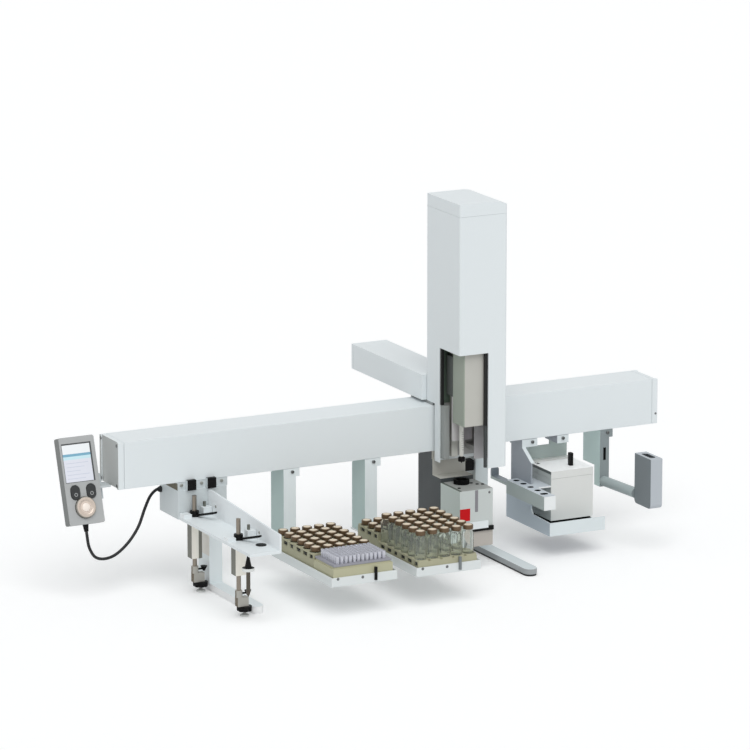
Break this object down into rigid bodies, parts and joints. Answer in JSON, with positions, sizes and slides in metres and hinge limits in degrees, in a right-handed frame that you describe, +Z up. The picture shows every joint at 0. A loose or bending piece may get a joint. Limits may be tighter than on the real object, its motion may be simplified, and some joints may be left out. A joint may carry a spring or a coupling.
{
  "type": "laboratory autosampler",
  "caption": "Bench autosampler: a tower with a syringe tool travels on a long rail over vial racks, a wash well, an oven and a reader, with a hand terminal.",
  "frame": {"origin": "on the floor under the middle of the machine's box", "axes": "+X along the rail from the hand terminal's end, +Y to the back, away from the tower's front, +Z up"},
  "size_m": [1.2992, 0.6726, 0.738],
  "materials": {
    "cover_paint": "satin powder coat",
    "grey_paint": "satin powder coat",
    "dark_paint": "satin powder coat",
    "drive_steel": "ground",
    "black_plastic": "moulded",
    "white_plastic": "moulded",
    "belt_rubber": "moulded",
    "tool_shell": "moulded",
    "barrel_glass": "clear",
    "rack_plastic": "moulded",
    "plate_plastic": "clear moulded",
    "holder_paint": "satin powder coat",
    "oven_paint": "satin powder coat",
    "terminal_shell": "fine texture",
    "terminal_keys": "moulded",
    "wheel_metal": "turned",
    "cord_jacket": "extruded"
  },
  "bodies": {
    "frame": {"rail_cover": "cover_paint", "rail_end_cap_left": "grey_paint", "rail_end_cap_right": "grey_paint", "rail_guide": "drive_steel", "rail_motor": "dark_paint", "rail_belt": "belt_rubber", "tray_post_left": "grey_paint", "tray_left": "cover_paint", "tray_post_right": "grey_paint", "tray_right": "cover_paint", "left_bracket": "grey_paint", "front_arm": "cover_paint", "left_leg": "grey_paint", "locating_spindle": "dark_paint", "station_frame": "dark_paint", "wash_module": "white_plastic", "centre_leg": "grey_paint", "oven_holder": "holder_paint", "tool_park": "cover_paint", "oven_box": "oven_paint", "reader_post": "dark_paint", "reader_box": "grey_paint", "terminal_body": "terminal_shell", "terminal_cradle": "grey_paint", "terminal_cord": "cord_jacket"},
    "carriage": {"rail_carriage": "dark_paint"},
    "drive_pulley": {"rail_drive_pulley": "drive_steel"},
    "idler_pulley": {"rail_idler_pulley": "drive_steel"},
    "arm": {"arm_cover": "cover_paint", "arm_end_cap": "cover_paint", "arm_guide": "drive_steel", "tower_cover": "cover_paint", "tower_cap": "cover_paint", "tower_back_plate": "dark_paint", "tower_motor": "dark_paint"},
    "screw": {"lead_screw": "drive_steel"},
    "tool": {"tool_carrier": "dark_paint", "tool_body": "tool_shell", "syringe_barrel": "barrel_glass", "needle_guide": "black_plastic"},
    "plunger": {"syringe_plunger": "drive_steel"},
    "lid": {"oven_lid": "oven_paint"},
    "rack_1": {"rack_left_rear": "rack_plastic"},
    "rack_2": {"rack_left_middle": "rack_plastic"},
    "adapter": {"plate_adapter": "rack_plastic"},
    "plate": {"well_plate": "plate_plastic"},
    "rack_3": {"rack_right_rear": "rack_plastic"},
    "rack_4": {"rack_right_middle": "rack_plastic"},
    "rack_5": {"rack_right_front": "rack_plastic"},
    "rear_stand": {"rear_stand_rod": "drive_steel"},
    "rear_lever": {"rear_stand_lever": "black_plastic"},
    "rear_foot": {"rear_stand_foot": "black_plastic"},
    "rear_nut": {"rear_thumb_nut": "black_plastic"},
    "front_stand": {"front_stand_rod": "drive_steel"},
    "front_lever": {"front_stand_lever": "black_plastic"},
    "front_foot": {"front_stand_foot": "black_plastic"},
    "front_nut": {"front_thumb_nut": "black_plastic"},
    "wheel": {"terminal_wheel": "wheel_metal"},
    "key_left": {"terminal_key_left": "terminal_keys"},
    "key_right": {"terminal_key_right": "terminal_keys"}
  },
  "joints": [
    {"name": "x_travel", "type": "slide", "parent": "frame", "child": "carriage", "axis": [1, 0, 0], "range_m": [-0.44, 0.38]},
    {"name": "drive_pulley_spin", "type": "hinge", "parent": "frame", "child": "drive_pulley", "pos_m": [-0.50905, 0.06385, 0.2596], "axis": [0, 1, 0], "range_deg": [-1215, 1050]},
    {"name": "idler_pulley_spin", "type": "hinge", "parent": "frame", "child": "idler_pulley", "pos_m": [0.61235, 0.06385, 0.2596], "axis": [0, 1, 0], "range_deg": [-1215, 1050]},
    {"name": "y_travel", "type": "slide", "parent": "carriage", "child": "arm", "axis": [0, -1, 0], "range_m": [0, 0.24]},
    {"name": "z_travel", "type": "slide", "parent": "arm", "child": "tool", "axis": [0, 0, 1], "range_m": [-0.075, 0.15]},
    {"name": "lead_screw_spin", "type": "hinge", "parent": "arm", "child": "screw", "pos_m": [0.21165, -0.04125, 0.446], "axis": [0, 0, 1], "range_deg": [-545, 1085]},
    {"name": "plunger_travel", "type": "slide", "parent": "tool", "child": "plunger", "axis": [0, 0, 1], "range_m": [0, 0.05]},
    {"name": "oven_lid_hinge", "type": "hinge", "parent": "frame", "child": "lid", "pos_m": [0.41365, 0.01635, 0.1578], "axis": [-1, 0, 0], "range_deg": [0, 30]},
    {"name": "rack_1_lift", "type": "slide", "parent": "frame", "child": "rack_1", "axis": [0, 0, 1], "range_m": [0, 0.03]},
    {"name": "rack_2_lift", "type": "slide", "parent": "frame", "child": "rack_2", "axis": [0, 0, 1], "range_m": [0, 0.03]},
    {"name": "rack_3_lift", "type": "slide", "parent": "frame", "child": "rack_3", "axis": [0, 0, 1], "range_m": [0, 0.03]},
    {"name": "rack_4_lift", "type": "slide", "parent": "frame", "child": "rack_4", "axis": [0, 0, 1], "range_m": [0, 0.03]},
    {"name": "rack_5_lift", "type": "slide", "parent": "frame", "child": "rack_5", "axis": [0, 0, 1], "range_m": [0, 0.03]},
    {"name": "adapter_lift", "type": "slide", "parent": "frame", "child": "adapter", "axis": [0, 0, 1], "range_m": [0, 0.03]},
    {"name": "plate_lift", "type": "slide", "parent": "adapter", "child": "plate", "axis": [0, 0, 1], "range_m": [0, 0.03]},
    {"name": "rear_stand_slide", "type": "slide", "parent": "frame", "child": "rear_stand", "axis": [0, 0, 1], "range_m": [0, 0.012]},
    {"name": "rear_lever_turn", "type": "hinge", "parent": "frame", "child": "rear_lever", "pos_m": [-0.39535, -0.01865, 0.16], "axis": [0, 0, 1], "range_deg": [-50, 0]},
    {"name": "rear_foot_screw", "type": "hinge", "parent": "rear_stand", "child": "rear_foot", "pos_m": [-0.38335, -0.01865, 0.015], "axis": [0, 0, 1], "continuous": true},
    {"name": "rear_nut_turn", "type": "hinge", "parent": "rear_stand", "child": "rear_nut", "pos_m": [-0.38535, -0.01865, 0.046], "axis": [1, 0, 0], "range_deg": [-60, 60]},
    {"name": "front_stand_slide", "type": "slide", "parent": "frame", "child": "front_stand", "axis": [0, 0, 1], "range_m": [0, 0.012]},
    {"name": "front_lever_turn", "type": "hinge", "parent": "frame", "child": "front_lever", "pos_m": [-0.39535, -0.21665, 0.16], "axis": [0, 0, 1], "range_deg": [-50, 0]},
    {"name": "front_foot_screw", "type": "hinge", "parent": "front_stand", "child": "front_foot", "pos_m": [-0.38335, -0.21665, 0.015], "axis": [0, 0, 1], "continuous": true},
    {"name": "front_nut_turn", "type": "hinge", "parent": "front_stand", "child": "front_nut", "pos_m": [-0.38535, -0.21665, 0.046], "axis": [1, 0, 0], "range_deg": [-60, 60]},
    {"name": "wheel_spin", "type": "hinge", "parent": "frame", "child": "wheel", "pos_m": [-0.6125, 0.01324, 0.18905], "axis": [0, -0.9527, 0.304], "continuous": true},
    {"name": "key_left_press", "type": "slide", "parent": "frame", "child": "key_left", "axis": [0, 0.9527, -0.304], "range_m": [0, 0.001], "stiffness_N_per_m": 400},
    {"name": "key_right_press", "type": "slide", "parent": "frame", "child": "key_right", "axis": [0, 0.9527, -0.304], "range_m": [0, 0.001], "stiffness_N_per_m": 400}
  ],
  "couplings": [
    {"joint": "drive_pulley_spin", "follows": "x_travel", "rad_per_m": 48.077},
    {"joint": "idler_pulley_spin", "follows": "x_travel", "rad_per_m": 48.077},
    {"joint": "lead_screw_spin", "follows": "z_travel", "rad_per_m": 125.66}
  ]
}
